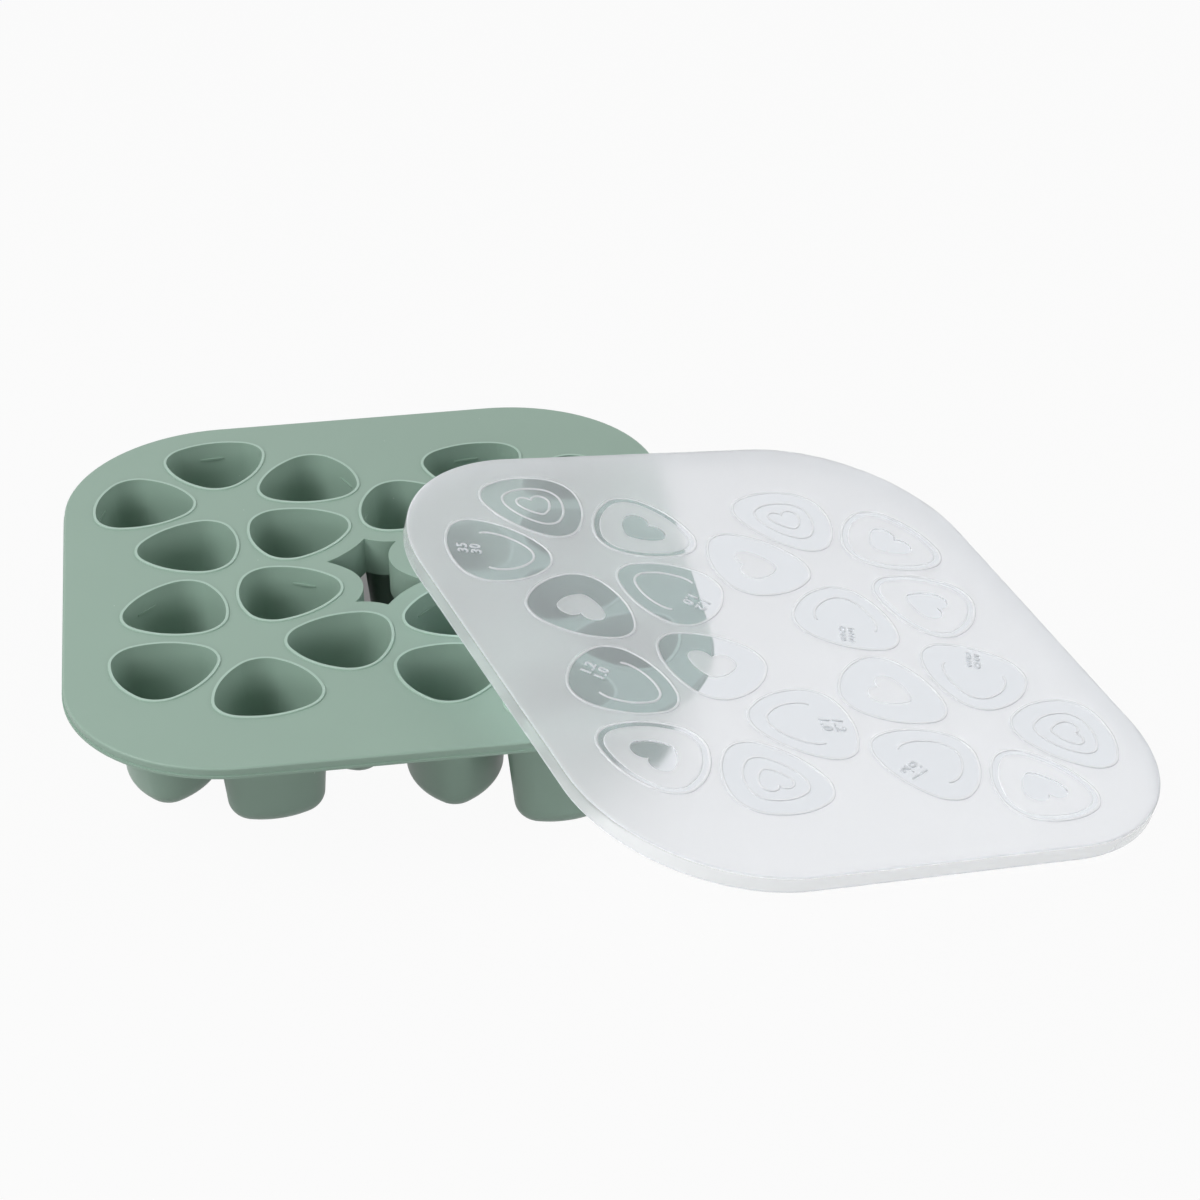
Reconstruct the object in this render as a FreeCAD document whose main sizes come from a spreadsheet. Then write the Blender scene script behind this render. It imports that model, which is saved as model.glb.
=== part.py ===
import FreeCAD, Part
import math
import os

import Sketcher
from FreeCAD import Placement, Rotation, Vector

# Freezer tray for baby food: a soft tray with twenty pods and a stiff press-on lid, which lies
# half on the tray's edge and half on the table. The tray is one moulding, held here as its deck,
# rim, middle sleeve and pods, which meet face to face. So is the lid, held as its plate and its
# skirt. Millimetres, +Z up, the table at z = 0.

doc = FreeCAD.newDocument("freezer_tray")


# ---------------------------------------------------------------- driving dimensions

SIZES = {
    # tray: plan outline is a rounded rectangle
    "tray_width": 225.0,
    "tray_depth": 240.0,
    "corner_radius": 60.0,
    "tray_height": 46.5,
    "deck_thickness": 2.4,
    "deck_edge_radius": 0.8,
    "rim_height": 3.8,
    "rim_width": 4.0,
    "lip_reach": 0.5,
    "lip_thickness": 0.9,
    # pod: a rounded triangle of three corner arcs and three side arcs
    "pod_corner_reach": 9.0,
    "pod_corner_radius": 10.7,
    "pod_side_radius": 31.0,
    "pod_draft": 5.0,
    "pod_floor": 2.2,
    "pod_wall": 2.0,
    "pod_bottom_radius": 5.0,
    "bead_width": 1.2,
    "bead_rise": 0.5,
    "bead_draft": 25.0,
    # fill mark: a short bar on the pod's marked wall
    "mark_depth": 5.6,
    "mark_length": 9.0,
    "mark_height": 0.7,
    "mark_relief": 0.6,
    # middle opening and its sleeve
    "opening_gap": 8.1,
    "sleeve_wall": 2.0,
    "sleeve_drop": 14.4,
    # lid
    "lid_clearance": 0.3,
    "lid_thickness": 1.3,
    "skirt_wall": 0.9,
    "skirt_height": 6.3,
    "lid_edge_radius": 0.7,
    # relief on the lid's top
    "line_rise": 0.35,
    "line_width": 0.8,
    "pad_rise": 0.2,
    "ring_gap": 0.55,
    "small_ring_share": 0.6,
    "pad_inset": 1.6,
    "heart_width": 17.5,
    "small_heart_width": 13.5,
    # where the lid lies: yaw, and the heading of its downhill line
    "lid_yaw": 18.5,
    "lid_downhill": -13.6,
    "lid_across": 136.7,
    "lid_along": -64.3,
    "rest_gap": 0.3,
}

# Pods of one half of the tray: place of the centre, and heading of the marked wall. The other
# half is the same pattern turned half round.
PODS = {
    "a": (-83.5, 63.5, 165.0),
    "b": (-54.8, 90.6, 95.0),
    "c": (-20.1, 71.8, 24.5),
    "d": (-66.0, 28.0, 240.5),
    "e": (-27.0, 33.0, 312.5),
    "f": (-72.1, -15.6, 134.0),
    "g": (-33.1, -9.9, 64.0),
    "h": (-78.1, -54.9, 202.0),
    "i": (-43.2, -73.3, 276.0),
    "j": (-15.0, -45.8, 347.0),
}

# The lid's relief over each pod and over its partner in the other half.
RELIEF = {
    "a": ("measure", "heart_line"),
    "b": ("heart_line", "heart_window"),
    "c": ("heart_window", "measure"),
    "d": ("heart_pad", "measure"),
    "e": ("measure", "heart_pad"),
    "f": ("measure", "heart_window"),
    "g": ("heart_pad", "measure"),
    "h": ("heart_window", "heart_window"),
    "i": ("heart_line", "heart_line"),
    "j": ("measure", "heart_pad"),
}

# One half of a heart in half widths, from its notch towards +X to its tip at -X: the arc of the
# lobe and the arc of the side, each by its start, a point on its way, and its end.
HEART_HALF = (
    ((0.44, 0.0), (0.762, 0.706), (-0.014, 0.892)),
    ((-0.014, 0.892), (-0.50, 0.47), (-0.94, 0.0)),
)

# How far a cutting form runs past the faces that it opens.
OVERRUN = 1.0

UP = Vector(0, 0, 1)

sheet = doc.addObject("Spreadsheet::Sheet", "sizes")
row = 0


def write_cell(alias, value):
    """One named cell of the sheet, as a plain number."""
    global row
    row += 1
    sheet.set("A%d" % row, alias)
    sheet.set("B%d" % row, str(value))
    sheet.setAlias("B%d" % row, alias)


for alias, value in SIZES.items():
    write_cell(alias, value)
for letter, (across, along, turn) in PODS.items():
    write_cell("pod_%s_across" % letter, across)
    write_cell("pod_%s_along" % letter, along)
    write_cell("pod_%s_turn" % letter, turn)
doc.recompute()


def size(alias):
    """A driving dimension, read from the sheet."""
    return float(getattr(sheet, alias))


# ---------------------------------------------------------------- outlines

def plan_face(grow, height):
    """Face of the tray's plan, a rounded rectangle moved out by grow, at one height."""
    half_w = size("tray_width") / 2 + grow
    half_d = size("tray_depth") / 2 + grow
    radius = size("corner_radius") + grow
    edges = []
    for quarter in range(4):
        turn = Rotation(UP, 90 * quarter)
        long, wide = (half_w, half_d) if quarter % 2 == 0 else (half_d, half_w)
        side_foot = turn.multVec(Vector(long, radius - wide, 0))
        side_end = turn.multVec(Vector(long, wide - radius, 0))
        centre = Vector(long - radius, wide - radius, 0)
        middle = turn.multVec(centre + polar(radius, 45))
        corner_end = turn.multVec(centre + polar(radius, 90))
        edges.append(Part.makeLine(side_foot, side_end))
        edges.append(Part.Arc(side_end, middle, corner_end).toShape())
    wire = Part.Wire(edges)
    wire.translate(height * UP)
    return Part.Face(wire)


def pod_arcs(grow):
    """The pod's six tangent arcs about its own centre, moved out by grow. +X is the marked side."""
    reach = size("pod_corner_reach")
    offset = side_offset()
    arcs = []
    for heading in (60, 180, 300):
        centre = polar(reach, heading)
        side_centre = polar(offset, heading + 240)
        before = centre - polar(offset, heading + 120)
        after = centre - side_centre
        after_next = polar(reach, heading + 120) - side_centre
        corner = Part.Circle(centre, UP, size("pod_corner_radius") + grow)
        side = Part.Circle(side_centre, UP, size("pod_side_radius") + grow)
        arcs.append(Part.ArcOfCircle(corner, bearing(before), turned_past(before, after)))
        arcs.append(Part.ArcOfCircle(side, bearing(after), turned_past(after, after_next)))
    return arcs


def side_offset():
    """How far a side arc's centre lies beyond the pod's centre."""
    reach = size("pod_corner_reach")
    apart = size("pod_side_radius") - size("pod_corner_radius")
    return (math.sqrt(4 * apart ** 2 - 3 * reach ** 2) - reach) / 2


def polar(distance, heading):
    """Point at a distance and a heading in degrees."""
    angle = math.radians(heading)
    return Vector(distance * math.cos(angle), distance * math.sin(angle), 0)


def bearing(vector):
    return math.atan2(vector.y, vector.x)


def turned_past(start, end):
    """The end's bearing, counted on anticlockwise from the start's."""
    return bearing(start) + (bearing(end) - bearing(start)) % (2 * math.pi)


def pod_face(grow, height=0.0, share=1.0):
    """Face inside the pod outline, or inside a smaller outline of the same form."""
    wire = Part.Wire([arc.toShape() for arc in pod_arcs(grow / share)])
    wire.scale(share)
    wire.translate(height * UP)
    return Part.Face(wire)


def pod_places(kinds=None):
    """Placements of all twenty pods, or of those with one of these kinds of relief on the lid."""
    places = []
    for letter in PODS:
        centre = Vector(size("pod_%s_across" % letter), size("pod_%s_along" % letter), 0)
        heading = size("pod_%s_turn" % letter)
        for half in (0, 1):
            if kinds is None or RELIEF[letter][half] in kinds:
                half_round = Rotation(UP, 180 * half)
                places.append(Placement(half_round.multVec(centre),
                                        Rotation(UP, heading + 180 * half)))
    return places


# ---------------------------------------------------------------- pod masters

def pod_body(name, grow, plane_height, drop, draft, floor_radius):
    """Body made about the pod's own centre: the outline padded along -Z with draft.

    grow, plane_height, drop, draft and floor_radius are expressions on the sheet. A pad that
    rises has a negative drop and no floor radius.
    """
    body = doc.addObject("PartDesign::Body", name)
    plane = [o for o in body.Origin.OriginFeatures if o.Role == "XY_Plane"][0]
    sketch = body.newObject("Sketcher::SketchObject", name + "_outline")
    sketch.AttachmentSupport = (plane, "")
    sketch.MapMode = "FlatFace"
    sketch.setExpression(".AttachmentOffset.Base.z", plane_height)
    for arc in pod_arcs(0):
        sketch.addGeometry(arc, False)
    for index in range(6):
        sketch.addConstraint(Sketcher.Constraint("Tangent", index, 2, (index + 1) % 6, 1))
    for index in (2, 4):
        sketch.addConstraint(Sketcher.Constraint("Equal", 0, index))
        sketch.addConstraint(Sketcher.Constraint("Equal", 1, index + 1))
    sketch.addConstraint(Sketcher.Constraint("PointOnObject", 2, 3, -1))
    sketch.addConstraint(Sketcher.Constraint("Symmetric", 0, 3, 4, 3, -1))
    reach = size("pod_corner_reach")
    bound = (
        ("DistanceX", (-1, 1, 2, 3), -reach, "-sizes.pod_corner_reach"),
        ("DistanceX", (-1, 1, 0, 3), reach / 2, "sizes.pod_corner_reach / 2"),
        ("DistanceY", (-1, 1, 0, 3), reach * math.sin(math.pi / 3),
         "sizes.pod_corner_reach * sqrt(3) / 2"),
        ("Radius", (0,), size("pod_corner_radius"), "sizes.pod_corner_radius + " + grow),
        ("Radius", (1,), size("pod_side_radius"), "sizes.pod_side_radius + " + grow),
    )
    for kind, places, value, expression in bound:
        index = sketch.addConstraint(Sketcher.Constraint(kind, *places, value))
        sketch.setExpression("Constraints[%d]" % index, expression)
    pad = body.newObject("PartDesign::Pad", name + "_pad")
    pad.Profile = sketch
    rises = drop.startswith("-")
    pad.Reversed = not rises
    pad.setExpression("Length", drop.lstrip("-"))
    pad.setExpression("TaperAngle", "-(%s)" % draft)
    doc.recompute()
    if floor_radius:
        floor = body.newObject("PartDesign::Fillet", name + "_floor")
        floor.Base = (pad, [extreme_face(pad.Shape, lowest=not rises)])
        floor.setExpression("Radius", floor_radius)
    doc.recompute()
    return body


def extreme_face(shape, lowest):
    """Name of a solid's lowest or highest face."""
    heights = [face.CenterOfMass.z for face in shape.Faces]
    wanted = min(heights) if lowest else max(heights)
    return "Face%d" % (heights.index(wanted) + 1)


cup = pod_body("pod_cup", "sizes.pod_wall", "sizes.tray_height",
               "sizes.tray_height", "sizes.pod_draft",
               "sizes.pod_bottom_radius + sizes.pod_wall")
cavity = pod_body("pod_cavity", "0", "sizes.tray_height + sizes.bead_rise",
                  "sizes.tray_height + sizes.bead_rise - sizes.pod_floor", "sizes.pod_draft",
                  "sizes.pod_bottom_radius")
bead = pod_body("pod_bead", "sizes.bead_width", "sizes.tray_height",
                "-sizes.bead_rise", "sizes.bead_draft", "")


# ---------------------------------------------------------------- document objects

def feature(name, shape):
    """Part::Feature that holds a shape worked out from the sheet."""
    item = doc.addObject("Part::Feature", name)
    item.Shape = shape
    return item


def extruded(name, face, length):
    """Face lifted along +Z by an expression on the sheet."""
    solid = doc.addObject("Part::Extrusion", name)
    solid.Base = feature(name + "_face", face)
    solid.DirMode = "Custom"
    solid.Dir = UP
    solid.Solid = True
    solid.setExpression("LengthFwd", length)
    return solid


def raised(face, height):
    """Copy of a face at another height."""
    moved = face.copy()
    moved.translate(height * UP)
    return moved


def fused(name, parts):
    union = doc.addObject("Part::MultiFuse", name)
    union.Shapes = parts
    return union


def cut(name, base, tool):
    difference = doc.addObject("Part::Cut", name)
    difference.Base = base
    difference.Tool = tool
    return difference


def rounded_top(name, base, radius):
    """The highest face's edges rounded."""
    doc.recompute()
    top = base.Shape.getElement(extreme_face(base.Shape, lowest=False))
    numbers = [number for number, edge in enumerate(base.Shape.Edges, start=1)
               if any(edge.isSame(rim) for rim in top.OuterWire.Edges)]
    rounded = doc.addObject("Part::Fillet", name)
    rounded.Base = base
    rounded.Edges = [(number, radius, radius) for number in numbers]
    return rounded


def copies(name, shape, places):
    """One shape at every place, as a compound."""
    placed = []
    for place in places:
        copy = shape.copy()
        copy.Placement = place.multiply(copy.Placement)
        placed.append(copy)
    return feature(name, Part.makeCompound(placed))


# ---------------------------------------------------------------- silicone tray

deck_top = size("tray_height")
deck_under = deck_top - size("deck_thickness")
rim_foot = deck_top - size("rim_height")
every_pod = pod_places()


def middle_opening(gap):
    """Face between the six middle pods that stays a gap away from each pod's mouth."""
    middle = sorted(every_pod, key=lambda place: place.Base.Length)[:6]
    middle.sort(key=lambda place: bearing(place.Base))
    face = Part.Face(Part.makePolygon([place.Base for place in middle + middle[:1]]))
    for place in middle:
        mouth = pod_face(gap)
        mouth.Placement = place
        face = face.cut(mouth)
    return min(face.Faces, key=lambda piece: piece.CenterOfMass.Length)


deck = rounded_top("deck", extruded("deck_blank", plan_face(0, deck_under),
                                    "sizes.deck_thickness"), size("deck_edge_radius"))
rim = extruded("rim", plan_face(0, rim_foot).cut(plan_face(-size("rim_width"), rim_foot)),
               "sizes.rim_height - sizes.deck_thickness")
lip = extruded("lip", plan_face(size("lip_reach"), rim_foot)
               .cut(plan_face(-size("rim_width"), rim_foot)), "sizes.lip_thickness")
sleeve_foot = deck_top - size("sleeve_drop")
sleeve = extruded("sleeve", raised(middle_opening(size("opening_gap") - size("sleeve_wall")),
                                   sleeve_foot),
                  "sizes.sleeve_drop - sizes.deck_thickness")
opening = extruded("opening", raised(middle_opening(size("opening_gap")),
                                     sleeve_foot - OVERRUN),
                   "sizes.sleeve_drop + %g" % (2 * OVERRUN))

# The bar stands on the marked wall at its depth below the deck and reaches into the wall.
mark_top = deck_top - size("mark_depth")
wall_slope = math.tan(math.radians(size("pod_draft")))
wall_at_mouth = size("pod_side_radius") - side_offset()
wall_at_mark = wall_at_mouth - (size("mark_depth") + size("bead_rise")) * wall_slope
mark = doc.addObject("Part::Box", "mark")
mark.setExpression("Length", "sizes.mark_relief + sizes.pod_wall / 2")
mark.setExpression("Width", "sizes.mark_length")
mark.setExpression("Height", "sizes.mark_height")
mark.Placement.Base = Vector(wall_at_mark - size("mark_relief"), -size("mark_length") / 2,
                             mark_top - size("mark_height"))

# One pod is finished by itself, then set in the deck at every place. Deck, rim and sleeve are cut
# to the pods' outside, so that each pod's wall meets them face to face.
pod_blank = fused("pod_blank", [cup, bead])
pod = fused("pod", [cut("pod_shell", pod_blank, cavity), mark])
doc.recompute()
pod_holes = copies("pod_holes", pod_blank.Shape, every_pod)
tray_deck = cut("tray_deck", cut("deck_open", deck, opening), pod_holes)
tray_deck.Label = "tray_deck"
tray_rim = cut("tray_rim", fused("rim_and_lip", [rim, lip]), pod_holes)
tray_rim.Label = "tray_rim"
middle_sleeve = cut("middle_sleeve", cut("sleeve_open", sleeve, opening), pod_holes)
middle_sleeve.Label = "middle_sleeve"


def set_pod(name, place, earlier):
    """One pod at its place. Where its wall would meet an earlier pod's, that one keeps its own."""
    mouth = pod_face(size("pod_wall"))
    mouth.Placement = place
    taken = []
    for other in earlier:
        near = pod_face(size("pod_wall"))
        near.Placement = other
        if mouth.distToShape(near)[0] <= 0:
            blank = pod_blank.Shape.copy()
            blank.Placement = other
            taken.append(blank)
    shape = pod.Shape.copy()
    shape.Placement = place
    item = feature(name, shape.cut(taken) if taken else shape)
    item.Label = name
    return item


pod_names = ["pod_%s%s" % (letter, ending) for letter in PODS for ending in ("", "_partner")]
pods = [set_pod(name, place, every_pod[:index])
        for index, (name, place) in enumerate(zip(pod_names, every_pod))]
tray = [tray_deck, tray_rim, middle_sleeve] + pods


# ---------------------------------------------------------------- snap lid

# The lid is built about the middle of its top face, which lies at z = 0.
skirt_inside = size("lip_reach") + size("lid_clearance")
lid_outside = skirt_inside + size("skirt_wall")


def heart_face(width, grow=0.0):
    """Heart about its own centre, moved out by grow."""
    arcs = []
    for mirror in (1, -1):
        for points in HEART_HALF:
            arc = Part.Arc(*[Vector(x, mirror * y, 0) * (width / 2) for x, y in points])
            arcs.append(arc.toShape())
    wire = Part.Wire(Part.sortEdges(arcs)[0])
    if grow:
        wire = wire.makeOffset2D(grow)
    return Part.Face(wire)


def relief(name, face, rise, kinds=None):
    """A face that stands above the lid's top over every pod of these kinds.

    rise is an expression on the sheet. The relief's foot is half way down the lid's plate.
    """
    form = extruded(name + "_form", raised(face, -size("lid_thickness") / 2),
                    "sizes.lid_thickness / 2 + " + rise)
    doc.recompute()
    return copies(name, form.Shape, pod_places(kinds))


line_width = size("line_width")
ring_gap = size("ring_gap")
share = size("small_ring_share")
heart = heart_face(size("heart_width"))
small_heart = size("small_heart_width")
skirt_foot = -size("skirt_height")

plate = rounded_top("plate", extruded("plate_block", plan_face(lid_outside, -size("lid_thickness")),
                                      "sizes.lid_thickness"), size("lid_edge_radius"))
lid_skirt = extruded("lid_skirt", plan_face(lid_outside, skirt_foot)
                     .cut(plan_face(skirt_inside, skirt_foot)),
                     "sizes.skirt_height - sizes.lid_thickness")
lid_skirt.Label = "lid_skirt"
rings = relief("rings", pod_face(ring_gap + line_width).cut(pod_face(ring_gap)),
               "sizes.line_rise")
small_rings = relief("small_rings",
                     pod_face(line_width, share=share).cut(pod_face(0, share=share)),
                     "sizes.line_rise", ("measure", "heart_line"))
heart_lines = relief("heart_lines",
                     heart_face(small_heart).cut(heart_face(small_heart, -line_width)),
                     "sizes.line_rise", ("heart_line",))
heart_pads = relief("heart_pads", heart, "sizes.pad_rise", ("heart_pad",))
window_pads = relief("window_pads", pod_face(-size("pad_inset")).cut(heart),
                     "sizes.pad_rise", ("heart_window",))
lid_plate = fused("lid_plate", [plate, rings, small_rings, heart_lines, heart_pads, window_pads])
lid_plate.Label = "lid_plate"
lid = [lid_plate, lid_skirt]


# ---------------------------------------------------------------- where the lid lies

def reach_of_plan(grow, heading):
    """How far the plan outline, moved out by grow, reaches in one heading."""
    radius = size("corner_radius") + grow
    ray = polar(1, heading)
    return (abs(ray.x) * (size("tray_width") / 2 + grow - radius)
            + abs(ray.y) * (size("tray_depth") / 2 + grow - radius) + radius)


lid_centre = Vector(size("lid_across"), size("lid_along"), 0)
downhill = polar(1, size("lid_downhill"))
low_reach = reach_of_plan(lid_outside, size("lid_downhill") - size("lid_yaw"))
edge_reach = reach_of_plan(0, size("lid_downhill"))


def lid_height(lean):
    """Height of the middle of the lid's top when the skirt's lowest point is on the table."""
    return low_reach * math.sin(lean) + size("skirt_height") * math.cos(lean)


def gap_at_edge(lean):
    """Gap between the lid's underside and the tray's rounded top edge, square to the lid."""
    sin, cos = math.sin(lean), math.cos(lean)
    radius = size("deck_edge_radius")
    underside = lid_centre.dot(downhill) * sin + lid_height(lean) * cos - size("lid_thickness")
    edge = (edge_reach - radius) * sin + (deck_top - radius) * cos + radius
    return underside - edge


def lean_at_rest():
    """The lean at which the lid clears the tray's edge by the rest gap, found by halving."""
    flat, steep = 0.0, math.radians(45)
    for halving in range(50):
        lean = (flat + steep) / 2
        if gap_at_edge(lean) < size("rest_gap"):
            flat = lean
        else:
            steep = lean
    return lean


lean = lean_at_rest()
lid_turn = Rotation(UP.cross(downhill), math.degrees(lean)).multiply(
    Rotation(UP, size("lid_yaw")))
lid_place = Placement(lid_centre + lid_height(lean) * UP, lid_turn)

# The part's origin is the middle of its whole footprint. The tray's lip and the lid's plate reach
# furthest.
lid_outer = plate.Shape.copy()
lid_outer.Placement = lid_place
footprint = Part.makeCompound([lip.Shape, lid_outer]).optimalBoundingBox()
to_middle = Vector(footprint.Center.x, footprint.Center.y, 0)
for item in tray:
    item.Placement.Base = item.Placement.Base - to_middle
for item in lid:
    item.Placement = Placement(lid_place.Base - to_middle, lid_turn)
doc.recompute()


# ---------------------------------------------------------------- check and write

for item in doc.Objects:
    if "Invalid" in item.State or "Error" in item.State:
        raise RuntimeError("%s failed: %s" % (item.Label, item.State))
os.makedirs("parts", exist_ok=True)
for item in tray + lid:
    if item.Shape.isNull() or not item.Shape.isValid():
        raise RuntimeError("%s has no valid shape" % item.Label)
for item in tray + lid:
    item.Shape.exportStep("parts/%s.step" % item.Label)
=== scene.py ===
"""Looks of a freezer tray for baby food: a silicone tray and the frosted lid that leans on it."""

import math

import bmesh
import bpy
import numpy as np
from mathutils import Matrix, Vector
from mathutils.geometry import delaunay_2d_cdt


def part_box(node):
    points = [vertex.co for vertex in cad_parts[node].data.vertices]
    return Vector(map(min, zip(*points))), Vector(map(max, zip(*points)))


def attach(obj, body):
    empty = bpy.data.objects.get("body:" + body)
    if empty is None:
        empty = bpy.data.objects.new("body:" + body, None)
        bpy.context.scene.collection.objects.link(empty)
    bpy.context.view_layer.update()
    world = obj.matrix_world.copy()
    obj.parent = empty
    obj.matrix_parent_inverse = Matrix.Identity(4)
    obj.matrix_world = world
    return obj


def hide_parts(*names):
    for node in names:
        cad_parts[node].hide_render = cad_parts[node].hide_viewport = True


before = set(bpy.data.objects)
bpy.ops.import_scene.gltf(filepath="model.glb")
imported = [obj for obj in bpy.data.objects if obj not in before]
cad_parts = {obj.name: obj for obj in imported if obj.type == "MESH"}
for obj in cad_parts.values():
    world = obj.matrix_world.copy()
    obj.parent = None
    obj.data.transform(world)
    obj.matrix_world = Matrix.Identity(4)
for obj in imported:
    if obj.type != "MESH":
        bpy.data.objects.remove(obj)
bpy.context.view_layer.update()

MM = 0.001


# ------------------------------------------------------------------ sizes of the tray and lid, mm

# Pods of one half: place across and along the tray, and heading of the side with the fill mark.
# The other half is the same turned half round. Then what the lid shows over the pod and over its
# partner: ml and oz are the two kinds of portion mark.
PODS = (
    (-83.5, 63.5, 165.0, "ml", "heart_line"),
    (-54.8, 90.6, 95.0, "heart_line", "heart_window"),
    (-20.1, 71.8, 24.5, "heart_window", "oz"),
    (-66.0, 28.0, 240.5, "heart_pad", "ml"),
    (-27.0, 33.0, 312.5, "oz", "heart_pad"),
    (-72.1, -15.6, 134.0, "oz", "heart_window"),
    (-33.1, -9.9, 64.0, "heart_pad", "ml"),
    (-78.1, -54.9, 202.0, "heart_window", "heart_window"),
    (-43.2, -73.3, 276.0, "heart_line", "heart_line"),
    (-15.0, -45.8, 347.0, "oz", "heart_pad"),
)
POD_CORNER_REACH = 9.0
POD_CORNER_RADIUS = 10.7
POD_SIDE_RADIUS = 31.0

TRAY_WIDTH = 225.0
TRAY_DEPTH = 240.0
CORNER_RADIUS = 60.0
TRAY_HEIGHT = 46.5
BEAD_RISE = 0.5
# The bead's crown is painted paler between these shares of its rise: a painted highlight.
BEAD_HIGHLIGHT_SHARES = (0.6, 0.9)  # shares of the bead's rise between which it turns pale
LID_OUTSIDE = 1.7
LID_THICKNESS = 1.3
LID_EDGE_RADIUS = 0.7
SKIRT_WALL = 0.9
SKIRT_HEIGHT = 6.3
FOOT_RADIUS = 0.25

# How the lid lies: from the tray's middle to the middle of the lid's top, and its turns.
LID_ACROSS = 136.7
LID_ALONG = -64.3
LID_TOP_HEIGHT = 41.843
LID_YAW = 18.5
LID_DOWNHILL = -13.6
LID_LEAN = 15.011

# Relief on the lid's top.
RING_GAP = 1.0
RING_WIDTH = 1.1
LINE_WIDTH = 0.95
LINE_RISE = 0.35
PAD_RISE = 0.2
SMALL_SHARE = 0.6
SMALL_SHIFT = 1.8
PAD_INSET = 1.6
PAD_EDGE = 0.15
STEP_SHOULDER = 0.8
STEP_REACH = PAD_EDGE + 0.01
PAD_HEART = 17.5
LINE_HEART = 13.3
POD_REACH = 24.0

# Share of a line's width and of its rise, from its foot to its rounded crown.
LINE_PROFILE = ((0.5, 0.0), (0.42, 0.65), (0.28, 0.95), (0.1, 1.0))

# Portion marks: height of a figure, how far each row stands from the pod's centre, and the rows.
FIGURE_HEIGHT = 3.8
FIGURE_SHARE = 0.7  # of the font's size
FIGURE_SPACING = 1.15
FIGURE_EDGE = 0.05
FIGURE_SWELL = 0.02
MARK_ROWS = (11.9, 7.0)
MARKS = {"ml": ("35", "30"), "oz": ("1.2", "1.0")}


# ------------------------------------------------------------------ outlines, in mm

def polar(distance, degrees):
    angle = math.radians(degrees)
    return Vector((distance * math.cos(angle), distance * math.sin(angle)))


def arc(centre, radius, start, end, steps):
    """Points on an arc from start to end in degrees, without the last one."""
    return [centre + polar(radius, start + (end - start) * i / steps) for i in range(steps)]


def pod_outline(grow=0.0, share=1.0):
    """The pod's rounded triangle about its own centre. +X is the side with the fill mark."""
    apart = POD_SIDE_RADIUS - POD_CORNER_RADIUS
    offset = (math.sqrt(4 * apart ** 2 - 3 * POD_CORNER_REACH ** 2) - POD_CORNER_REACH) / 2
    points = []
    for heading in (60, 180, 300):
        corner = polar(POD_CORNER_REACH, heading)
        side_centre = polar(offset, heading + 240)
        before = corner - polar(offset, heading + 120)
        after = corner - side_centre
        after_next = polar(POD_CORNER_REACH, heading + 120) - side_centre
        turn = math.degrees(math.atan2(before.y, before.x))
        corner_end = turn + math.degrees(before.angle(after))
        side_end = corner_end + math.degrees(after.angle(after_next))
        points += arc(corner, POD_CORNER_RADIUS + grow / share, turn, corner_end, 14)
        points += arc(side_centre, POD_SIDE_RADIUS + grow / share, corner_end, side_end, 10)
    return [point * share for point in points]


def plan_outline(grow):
    """The tray's and lid's plan: a rounded rectangle, moved out by grow."""
    radius = CORNER_RADIUS + grow
    across = TRAY_WIDTH / 2 - CORNER_RADIUS
    along = TRAY_DEPTH / 2 - CORNER_RADIUS
    points = []
    for turn, x, y in ((0, across, along), (90, -across, along),
                       (180, -across, -along), (270, across, -along)):
        points += arc(Vector((x, y)), radius, turn, turn + 90, 30)
        points.append(Vector((x, y)) + polar(radius, turn + 90))
    return points


# Half a heart in half widths: the lobe's and the tip's centre and radius, and the side's radius.
HEART_LOBE = (Vector((0.27, 0.47)), 0.51)
HEART_TIP = (Vector((-0.55, 0.0)), 0.34)
HEART_SIDE_RADIUS = 1.7


def heart_outline(width):
    """A heart about its own centre: its notch is towards +X and its rounded tip towards -X."""
    (lobe, lobe_radius), (tip, tip_radius) = HEART_LOBE, HEART_TIP
    notch = Vector((lobe.x + math.sqrt(lobe_radius ** 2 - lobe.y ** 2), 0))
    # The side's arc runs into the lobe's and the tip's, so its centre is this far from theirs.
    to_lobe, to_tip = HEART_SIDE_RADIUS - lobe_radius, HEART_SIDE_RADIUS - tip_radius
    span = (tip - lobe).length
    along = (to_lobe ** 2 - to_tip ** 2 + span ** 2) / (2 * span)
    aside = math.sqrt(to_lobe ** 2 - along ** 2)
    towards = (tip - lobe) / span
    side = lobe + towards * along + Vector((-towards.y, towards.x)) * aside
    start = heading(notch - lobe)
    lobe_end = heading(lobe - side)
    tip_start = heading(tip - side)
    half = arc(lobe, lobe_radius, start, start + (lobe_end - start) % 360, 22)
    half += arc(side, HEART_SIDE_RADIUS, lobe_end, lobe_end + (tip_start - lobe_end) % 360, 8)
    half += arc(tip, tip_radius, tip_start, 180, 8) + [tip - Vector((tip_radius, 0))]
    other = [Vector((point.x, -point.y)) for point in reversed(half[1:-1])]
    return [point * width / 2 for point in half + other]


def heading(vector):
    """A vector's heading in degrees, from 0 to 360."""
    return math.degrees(math.atan2(vector.y, vector.x)) % 360


def moved_out(points, distance, closed=True):
    """An outline moved out square to itself. An anticlockwise outline grows."""
    count = len(points)
    moved = []
    for i, point in enumerate(points):
        before = points[i - 1] if closed or i else point
        after = points[(i + 1) % count] if closed or i + 1 < count else point
        along = (after - before).normalized()
        moved.append(point + distance * Vector((along.y, -along.x)))
    return moved


# ------------------------------------------------------------------ materials

def linear(code, alpha=1.0):
    """sRGB hex to linear colour."""
    parts = [int(code[i:i + 2], 16) / 255 for i in (1, 3, 5)]
    return (*[c / 12.92 if c <= 0.04045 else ((c + 0.055) / 1.055) ** 2.4 for c in parts], alpha)


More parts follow.
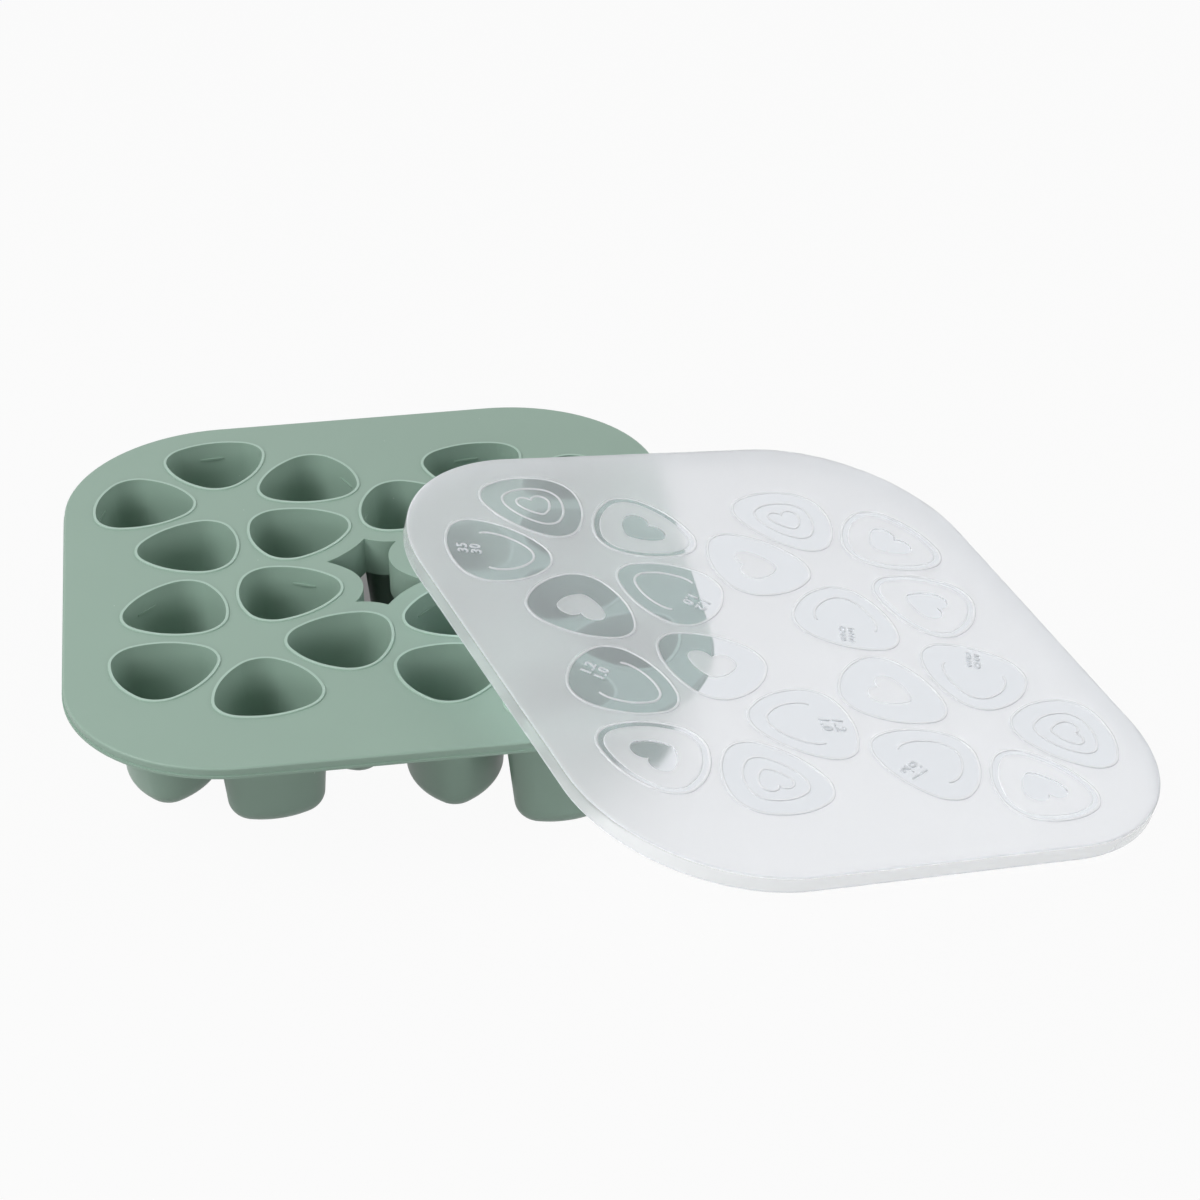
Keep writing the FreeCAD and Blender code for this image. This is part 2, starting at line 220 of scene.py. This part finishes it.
def node(tree, kind, settings=None, **inputs):
    """Adds a node. Settings are its properties; inputs are values, or sockets to link."""
    made = tree.nodes.new("ShaderNode" + kind)
    for name, value in (settings or {}).items():
        setattr(made, name, value)
    for name, value in inputs.items():
        by_number = name[1:].isdigit()
        socket = made.inputs[int(name[1:]) if by_number else name.replace("_", " ")]
        if isinstance(value, bpy.types.NodeSocket):
            tree.links.new(value, socket)
        else:
            socket.default_value = value
    return made


def new_material(name):
    material = bpy.data.materials.new(name)
    material.use_nodes = True
    material.node_tree.nodes.clear()
    return material, material.node_tree


def put_out(tree, shader):
    node(tree, "OutputMaterial", Surface=shader)


def silicone():
    """Silicone rubber, moulded in a fine-blasted tool: matt, with a soft glow under the skin.

    It gives the eye a dry, even sage green with no sharp highlight, and a few specks of lint.
    The beads round the pods' mouths have their crowns painted paler: a painted highlight.
    """
    material, tree = new_material("matt_silicone_rubber")
    place = node(tree, "TexCoord").outputs["Object"]
    cloud = node(tree, "TexNoise", Vector=place, Scale=1 / (40 * MM), Detail=2.0)
    tint = node(tree, "MixRGB", Fac=cloud.outputs["Fac"], Color1=linear("#94AD9F"),
                Color2=linear("#98B1A3"))
    specks = node(tree, "TexVoronoi", {"feature": "F1"}, Vector=place, Scale=1 / (14 * MM))
    speck = node(tree, "Math", {"operation": "LESS_THAN"}, _0=specks.outputs["Distance"], _1=0.016)
    colour = node(tree, "MixRGB", Fac=speck.outputs[0], Color1=tint.outputs[0],
                  Color2=linear("#C6D3CB"))
    height = node(tree, "SeparateXYZ", Vector=place).outputs["Z"]
    # Painted highlight: the top of each bead is mixed towards a paler green, standing in for light
    # catching the bead's crown.
    highlight_from, highlight_to = [TRAY_HEIGHT + BEAD_RISE * share for share in BEAD_HIGHLIGHT_SHARES]
    crown = node(tree, "MapRange", Value=height, From_Min=highlight_from * MM, From_Max=highlight_to * MM)
    colour = node(tree, "MixRGB", Fac=crown.outputs[0], Color1=colour.outputs[0],
                  Color2=linear("#AFC8BB"))
    grain = node(tree, "TexNoise", Vector=place, Scale=1 / (0.45 * MM), Detail=3.0)
    bump = node(tree, "Bump", Strength=0.12, Distance=0.05 * MM, Height=grain.outputs["Fac"])
    rough = node(tree, "MapRange", Value=cloud.outputs["Fac"], To_Min=0.38, To_Max=0.46)
    skin = node(tree, "BsdfPrincipled", Base_Color=colour.outputs[0], Roughness=rough.outputs[0],
                IOR=1.41, Subsurface_Weight=0.12, Subsurface_Radius=(1.0, 1.2, 1.0),
                Subsurface_Scale=1.5 * MM, Normal=bump.outputs[0])
    put_out(tree, skin.outputs[0])
    return material


def polypropylene(name, base, transmission, roughness, grain_depth, shade_through):
    """Translucent polypropylene. Part of the light goes through each face, and shadows
    below it are thin, as light also leaks through the sheet."""
    material, tree = new_material(name)
    place = node(tree, "TexCoord").outputs["Object"]
    grain = node(tree, "TexNoise", Vector=place, Scale=1 / (0.5 * MM), Detail=2.0)
    wave = node(tree, "TexNoise", Vector=place, Scale=1 / (30 * MM), Detail=1.0)
    relief = node(tree, "Math", {"operation": "MULTIPLY_ADD"}, _0=wave.outputs["Fac"], _1=3.0,
                  _2=grain.outputs["Fac"])
    bump = node(tree, "Bump", Strength=0.2, Distance=grain_depth * MM, Height=relief.outputs[0])
    sheet = node(tree, "BsdfPrincipled", Base_Color=linear(base), Roughness=roughness,
                 IOR=1.49, Transmission_Weight=transmission, Normal=bump.outputs[0])
    through = node(tree, "BsdfTransparent", Color=linear(base))
    path = node(tree, "LightPath")
    share = node(tree, "Math", {"operation": "MULTIPLY"}, _0=path.outputs["Is Shadow Ray"],
                 _1=shade_through)
    mix = node(tree, "MixShader", _0=share.outputs[0], _1=sheet.outputs[0], _2=through.outputs[0])
    put_out(tree, mix.outputs[0])
    return material


def blasted_polypropylene():
    """Polypropylene off a blasted tool face: milky, so what lies under it shows as soft shade."""
    return polypropylene("blasted_polypropylene", "#F7F9FC", 0.58, 0.52, 0.05, 0.5)


def polished_polypropylene():
    """Polypropylene off a polished tool face: clear enough to see the pod under it."""
    return polypropylene("polished_polypropylene", "#E4E9EF", 0.76, 0.10, 0.01, 0.5)


def thick_polypropylene():
    """Polypropylene where it stands up as a line or a figure: thicker, so it looks whiter."""
    return polypropylene("thick_polypropylene", "#F6F8FC", 0.36, 0.25, 0.02, 0.4)


def coarse_polypropylene():
    """Polypropylene of the raised figures, off a coarsely blasted face: it looks white."""
    return polypropylene("coarse_polypropylene", "#EDF0F3", 0.25, 0.50, 0.05, 0.5)


def skirt_polypropylene():
    """The lid's thin skirt: clearer than its top, so it takes up the green of the tray behind."""
    return polypropylene("skirt_polypropylene", "#F7F9FA", 0.70, 0.18, 0.03, 0.6)


def inner_polypropylene():
    """The lid's underside, off a smooth tool face, which lets on what the top lets through."""
    return polypropylene("inner_polypropylene", "#F4F5F7", 0.94, 0.12, 0.01, 0.8)


# ------------------------------------------------------------------ lid

# Which of the lid's finishes a face has.
BLASTED, POLISHED, THICK, SKIRT, INNER = range(5)

# How the lid's top is meshed: only inside the outermost loop, and how near two points are one, mm.
INSIDE_ONLY = 1
SAME_POINT = 1e-6
WELD = 0.01


class Plate:
    """Loops in the lid's plane, each at its own height, between which its top is meshed."""

    def __init__(self):
        self.points = []
        self.heights = []
        self.edges = []
        self.on_line = []

    def add_loop(self, points, height=0.0, on_line=False):
        first = len(self.points)
        count = len(points)
        self.points += points
        self.heights += [height] * count
        self.on_line += [on_line] * count
        self.edges += [(first + i, first + (i + 1) % count) for i in range(count)]

    def mesh(self):
        """Points, triangles and which of these are part of a raised line."""
        flat, _, faces, sources, _, _ = delaunay_2d_cdt(
            self.points, self.edges, [], INSIDE_ONLY, SAME_POINT)
        heights = [self.heights[source[0]] if source else 0.0 for source in sources]
        on_line = [bool(source) and self.on_line[source[0]] for source in sources]
        points = [Vector((point.x, point.y, height)) for point, height in zip(flat, heights)]
        raised = [any(on_line[corner] for corner in face) for face in faces]
        return points, [tuple(face) for face in faces], raised


def add_line(plate, line, width=LINE_WIDTH):
    """A raised line with a rounded crown, along a closed outline."""
    for share, height in LINE_PROFILE:
        for side in (share, -share):
            plate.add_loop(moved_out(line, side * width), height * LINE_RISE, height > 0)


def add_open_line(plate, line, width=LINE_WIDTH):
    """A raised line with a rounded crown and round ends, along an open one."""
    for share, height in LINE_PROFILE:
        reach = share * width
        loop = moved_out(line, reach, closed=False) + end_cap(line[-2], line[-1], reach)
        loop += moved_out(line, -reach, closed=False)[::-1] + end_cap(line[1], line[0], reach)
        plate.add_loop(loop, height * LINE_RISE, height > 0)


def end_cap(before, end, reach):
    """Points half round a line's end."""
    ahead = heading(end - before)
    return arc(end, reach, ahead - 90, ahead + 90, 6)[1:]


def add_step(plate, outline):
    """A low step up to the inside of an anticlockwise outline, or out from a clockwise one."""
    plate.add_loop(moved_out(outline, PAD_EDGE), 0.0)
    plate.add_loop(moved_out(outline, -PAD_EDGE / 2), PAD_RISE * STEP_SHOULDER)
    plate.add_loop(moved_out(outline, -PAD_EDGE), PAD_RISE)


def placed(points, place):
    """Points in a pod's own frame to the lid's frame."""
    x, y, turn = place
    spin = Matrix.Rotation(math.radians(turn), 2)
    return [Vector((x, y)) + spin @ point for point in points]


def pod_places():
    """Every pod: its place, and what the lid shows over it."""
    places = []
    for x, y, turn, kind, partner_kind in PODS:
        places.append(((x, y, turn), kind))
        places.append(((-x, -y, turn + 180), partner_kind))
    return places


def open_ring():
    """The inner ring round a portion mark: it stands off the marked side and is open there."""
    ring = [point - Vector((SMALL_SHIFT, 0)) for point in pod_outline(LINE_WIDTH / 2, SMALL_SHARE)]
    open_from = MARK_ROWS[1] - FIGURE_HEIGHT / 2 - LINE_WIDTH
    start = next(i for i, point in enumerate(ring) if point.x >= open_from)
    return [point for point in ring[start:] + ring[:start] if point.x < open_from]


def add_relief(plate, place, kind):
    """What the lid's top shows over one pod."""
    add_line(plate, placed(pod_outline(RING_GAP), place), RING_WIDTH)
    if kind == "heart_line":
        add_line(plate, placed(pod_outline(LINE_WIDTH / 2, SMALL_SHARE), place))
        add_line(plate, placed(heart_outline(LINE_HEART), place))
    elif kind == "heart_pad":
        add_step(plate, placed(heart_outline(PAD_HEART), place))
    elif kind == "heart_window":
        add_step(plate, placed(pod_outline(-PAD_INSET), place))
        add_step(plate, placed(heart_outline(PAD_HEART), place)[::-1])
    else:
        add_open_line(plate, placed(open_ring(), place))


def inside(outline, points):
    """Which of the points lie inside an outline."""
    x0, y0 = np.array([tuple(point) for point in outline]).T
    x1, y1 = np.roll(x0, -1), np.roll(y0, -1)
    x, y = points[:, 0:1], points[:, 1:2]
    crosses = (y0 > y) != (y1 > y)
    rise = np.where(y1 == y0, 1.0, y1 - y0)
    left = x < (x1 - x0) * (y - y0) / rise + x0
    return (crosses & left).sum(axis=1) % 2 == 1


def polished_faces(points, faces):
    """Which triangles of the lid's top lie in a polished part of it.

    A step's own narrow slope belongs to one side of it as a whole, so that its edge is clean.
    """
    flat = np.array([tuple(point)[:2] for point in points])
    middles = flat[np.array(faces)].mean(axis=1)
    polished = np.zeros(len(faces), bool)
    for place, kind in pod_places():
        near = np.flatnonzero(np.hypot(*(middles - place[:2]).T) < POD_REACH)
        spots = middles[near]
        clear = inside(placed(pod_outline(RING_GAP), place), spots)
        heart = moved_out(heart_outline(PAD_HEART), STEP_REACH)
        if kind == "heart_pad":
            clear &= ~inside(placed(heart, place), spots)
        elif kind == "heart_window":
            window = pod_outline(STEP_REACH - PAD_INSET)
            clear &= ~inside(placed(window, place), spots) | inside(placed(heart, place), spots)
        polished[near[clear]] = True
    return polished


def lid_matrix(tray_middle):
    """From the lid's own frame, in mm about the middle of its top, to the place where it lies."""
    downhill = polar(1, LID_DOWNHILL).to_3d()
    lean = Matrix.Rotation(math.radians(LID_LEAN), 4, Vector((0, 0, 1)).cross(downhill))
    yaw = Matrix.Rotation(math.radians(LID_YAW), 4, "Z")
    middle = Vector((tray_middle.x, tray_middle.y, 0)) / MM
    middle += Vector((LID_ACROSS, LID_ALONG, LID_TOP_HEIGHT))
    return Matrix.Scale(MM, 4) @ Matrix.Translation(middle) @ lean @ yaw


def rounded(reach, height, radius, start, end, steps=6):
    """Points of a rounded edge as (reach, height), about the centre of its arc."""
    points = []
    for step in range(steps + 1):
        turn = math.radians(start + (end - start) * step / steps)
        points.append((reach + radius * math.cos(turn), height + radius * math.sin(turn)))
    return points


def skirt_profile():
    """From the lid's top round its edge, down its skirt and up to its underside.

    Gives the profile's points as (grow, height), and the finish of each stretch between them.
    """
    inner_wall = LID_OUTSIDE - SKIRT_WALL
    edge = rounded(LID_OUTSIDE - LID_EDGE_RADIUS, -LID_EDGE_RADIUS, LID_EDGE_RADIUS, 90, 0)
    foot = rounded(LID_OUTSIDE - FOOT_RADIUS, FOOT_RADIUS - SKIRT_HEIGHT, FOOT_RADIUS, 0, -90, 3)
    foot += rounded(inner_wall + FOOT_RADIUS, FOOT_RADIUS - SKIRT_HEIGHT, FOOT_RADIUS, -90, -180, 3)
    root = rounded(inner_wall - LID_EDGE_RADIUS, -LID_THICKNESS - LID_EDGE_RADIUS,
                   LID_EDGE_RADIUS, 0, 90)
    finishes = [BLASTED] * (len(edge) - 1) + [SKIRT] + [THICK] * (len(foot) - 1)
    finishes += [SKIRT] + [INNER] * (len(root) - 1)
    return edge + foot + root, finishes


def make_lid(matrix):
    """The lid as one closed shell: its top with the relief, its skirt and its underside."""
    top = Plate()
    top.add_loop(plan_outline(LID_OUTSIDE - LID_EDGE_RADIUS))
    for place, kind in pod_places():
        add_relief(top, place, kind)
    points, faces, on_line = top.mesh()
    polished = polished_faces(points, faces)
    finishes = [THICK if line else POLISHED if clear else BLASTED
                for line, clear in zip(on_line, polished)]
    smooth = list(on_line)

    profile, side_finishes = skirt_profile()
    loops = [[Vector((*point, height)) for point in plan_outline(grow)] for grow, height in profile]
    count = len(loops[0])
    first = len(points)
    for level, finish in enumerate(side_finishes):
        finishes += [finish] * count
        smooth += [True] * count
        for i in range(count):
            j = (i + 1) % count
            upper, lower = first + level * count, first + (level + 1) * count
            faces.append((upper + i, lower + i, lower + j, upper + j))
    points += [point for loop in loops for point in loop]
    under = len(points) - count
    faces.append(tuple(under + i for i in reversed(range(count))))
    finishes.append(INNER)
    smooth.append(False)

    mesh = bpy.data.meshes.new("lid")
    mesh.from_pydata([matrix @ point for point in points], [], faces)
    mesh.polygons.foreach_set("use_smooth", smooth)
    mesh.polygons.foreach_set("material_index", finishes)
    shell = bmesh.new()
    shell.from_mesh(mesh)
    bmesh.ops.remove_doubles(shell, verts=shell.verts, dist=WELD * MM)
    shell.to_mesh(mesh)
    shell.free()
    lid = bpy.data.objects.new("lid", mesh)
    bpy.context.scene.collection.objects.link(lid)
    for material in (blasted_polypropylene(), polished_polypropylene(), thick_polypropylene(),
                     skirt_polypropylene(), inner_polypropylene()):
        mesh.materials.append(material)
    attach(lid, "lid")
    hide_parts(*lid_parts)
    return lid


def figure_mesh(text, matrix):
    """Raised figures of the portion marks, their middle at the matrix's origin."""
    curve = bpy.data.curves.new("figures", "FONT")
    curve.body = text
    curve.size = FIGURE_HEIGHT / FIGURE_SHARE
    curve.align_x = "CENTER"
    curve.align_y = "CENTER"
    curve.space_character = FIGURE_SPACING
    curve.extrude = LINE_RISE / 2
    curve.bevel_depth = FIGURE_EDGE
    curve.offset = FIGURE_SWELL
    curve.resolution_u = 4
    lettering = bpy.data.objects.new("figures", curve)
    bpy.context.scene.collection.objects.link(lettering)
    bpy.context.view_layer.update()
    mesh = bpy.data.meshes.new_from_object(
        lettering.evaluated_get(bpy.context.evaluated_depsgraph_get()))
    bpy.data.objects.remove(lettering)
    mesh.transform(matrix)
    return mesh


def make_marks(matrix):
    """The portion marks over the pods' marked sides: the fill line's figures and the brim's."""
    joined = bmesh.new()
    for (x, y, turn), kind in pod_places():
        for row, text in zip(MARK_ROWS, MARKS.get(kind, ())):
            spot = Vector((x, y)) + polar(row, turn)
            place = Matrix.Translation((*spot, LINE_RISE / 2)) @ \
                Matrix.Rotation(math.radians(turn - 90), 4, "Z")
            mesh = figure_mesh(text, matrix @ place)
            joined.from_mesh(mesh)
            bpy.data.meshes.remove(mesh)
    whole = bpy.data.meshes.new("portion_marks")
    joined.to_mesh(whole)
    joined.free()
    whole.materials.append(coarse_polypropylene())
    marks = bpy.data.objects.new("portion_marks", whole)
    bpy.context.scene.collection.objects.link(marks)
    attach(marks, "lid")


# ------------------------------------------------------------------ object

lid_parts = ["lid_plate", "lid_skirt"]
tray_parts = [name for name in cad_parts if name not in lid_parts]
rubber = silicone()
for name in tray_parts:
    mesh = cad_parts[name].data
    mesh.materials.clear()
    mesh.materials.append(rubber)

corners = [corner for name in tray_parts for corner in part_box(name)]
tray_low = Vector([min(corner[i] for corner in corners) for i in range(3)])
tray_high = Vector([max(corner[i] for corner in corners) for i in range(3)])
tray_middle = (tray_low + tray_high) / 2
lid_place = lid_matrix(tray_middle)
lid = make_lid(lid_place)
make_marks(lid_place)


# ------------------------------------------------------------------ floor, light and camera

# The floor in metres, and the part of it under the tray that keeps its own shade: how far behind
# the tray's middle its centre is, and the radii between which it fades into the open floor.
FLOOR_HALF = 4.0
FLOOR_DROP = 0.0002
SHADE_BEHIND = 0.05
SHADE_INNER = 0.05
SHADE_OUTER = 0.09

# How far the floor is seen as plain white there and in the open, out of 1.
SHADED_WHITE = 0.2
OPEN_WHITE = 0.95


def seen_share(tree):
    """1 where the camera sees something, straight, in a gloss or through the lid."""
    path = node(tree, "LightPath").outputs
    both = node(tree, "Math", {"operation": "ADD"}, _0=path["Is Camera Ray"],
                _1=path["Is Transmission Ray"])
    return node(tree, "Math", {"operation": "ADD", "use_clamp": True}, _0=both.outputs[0],
                _1=path["Is Glossy Ray"]).outputs[0]


def make_floor():
    """A plain white floor that keeps a thin shadow, and its full shade under the tray's middle."""
    half = FLOOR_HALF
    mesh = bpy.data.meshes.new("floor")
    mesh.from_pydata([(-half, -half, 0), (half, -half, 0), (half, half, 0), (-half, half, 0)],
                     [], [(0, 1, 2, 3)])
    floor = bpy.data.objects.new("floor", mesh)
    bpy.context.scene.collection.objects.link(floor)
    floor.location.z = -FLOOR_DROP
    material, tree = new_material("white_floor")
    place = node(tree, "NewGeometry").outputs["Position"]
    away = node(tree, "VectorMath", {"operation": "DISTANCE"}, _0=place,
                _1=(tray_middle.x, tray_middle.y + SHADE_BEHIND, 0))
    open_floor = node(tree, "MapRange", {"interpolation_type": "SMOOTHSTEP"},
                      Value=away.outputs["Value"], From_Min=SHADE_INNER, From_Max=SHADE_OUTER,
                      To_Min=SHADED_WHITE, To_Max=OPEN_WHITE)
    share = node(tree, "Math", {"operation": "MULTIPLY"}, _0=seen_share(tree),
                 _1=open_floor.outputs[0])
    paint = node(tree, "BsdfDiffuse", Color=linear("#9A9896"))
    glow = node(tree, "Emission", Color=(1, 1, 1, 1), Strength=1.0)
    mix = node(tree, "MixShader", _0=share.outputs[0], _1=paint.outputs[0], _2=glow.outputs[0])
    put_out(tree, mix.outputs[0])
    floor.data.materials.append(material)


def make_world():
    """Even white light from all round, which is seen as plain white."""
    world = bpy.data.worlds.new("studio")
    world.use_nodes = True
    tree = world.node_tree
    tree.nodes.clear()
    light = node(tree, "Background", Color=linear("#FFFFFF"), Strength=0.22)
    seen = node(tree, "Background", Color=linear("#FFFFFF"), Strength=1.0)
    mix = node(tree, "MixShader", _0=seen_share(tree), _1=light.outputs[0], _2=seen.outputs[0])
    node(tree, "OutputWorld", Surface=mix.outputs[0])
    bpy.context.scene.world = world


def add_softbox(name, place, aim, width, height, watts):
    lamp = bpy.data.lights.new(name, "AREA")
    lamp.shape = "RECTANGLE"
    lamp.size = width
    lamp.size_y = height
    lamp.energy = watts
    box = bpy.data.objects.new(name, lamp)
    bpy.context.scene.collection.objects.link(box)
    box.location = place
    box.rotation_euler = (Vector(aim) - Vector(place)).to_track_quat("-Z", "Y").to_euler()


def make_camera():
    """The view from the front, a little above."""
    lens = bpy.data.cameras.new("camera")
    lens.sensor_width = 36.0
    lens.lens = 95.6
    lens.shift_x = 0.01516
    lens.shift_y = 0.01098
    camera = bpy.data.objects.new("camera", lens)
    bpy.context.scene.collection.objects.link(camera)
    camera.location = (-0.12081, -0.95767, 0.63260)
    camera.rotation_euler = [math.radians(turn) for turn in (58.6587, 1.1503, -7.6073)]
    bpy.context.scene.camera = camera


make_floor()
make_world()
add_softbox("left_light", (-0.95, -0.15, 0.95), (0, 0, 0), 0.7, 0.7, 10.6)
add_softbox("right_light", (0.85, 0.45, 0.9), (0, 0, 0), 0.7, 0.7, 4.4)
add_softbox("low_front_light", (-0.1, -1.35, 0.4), (0, 0, 0), 1.3, 0.4, 5.4)
make_camera()
bpy.context.scene.view_settings.view_transform = "Standard"
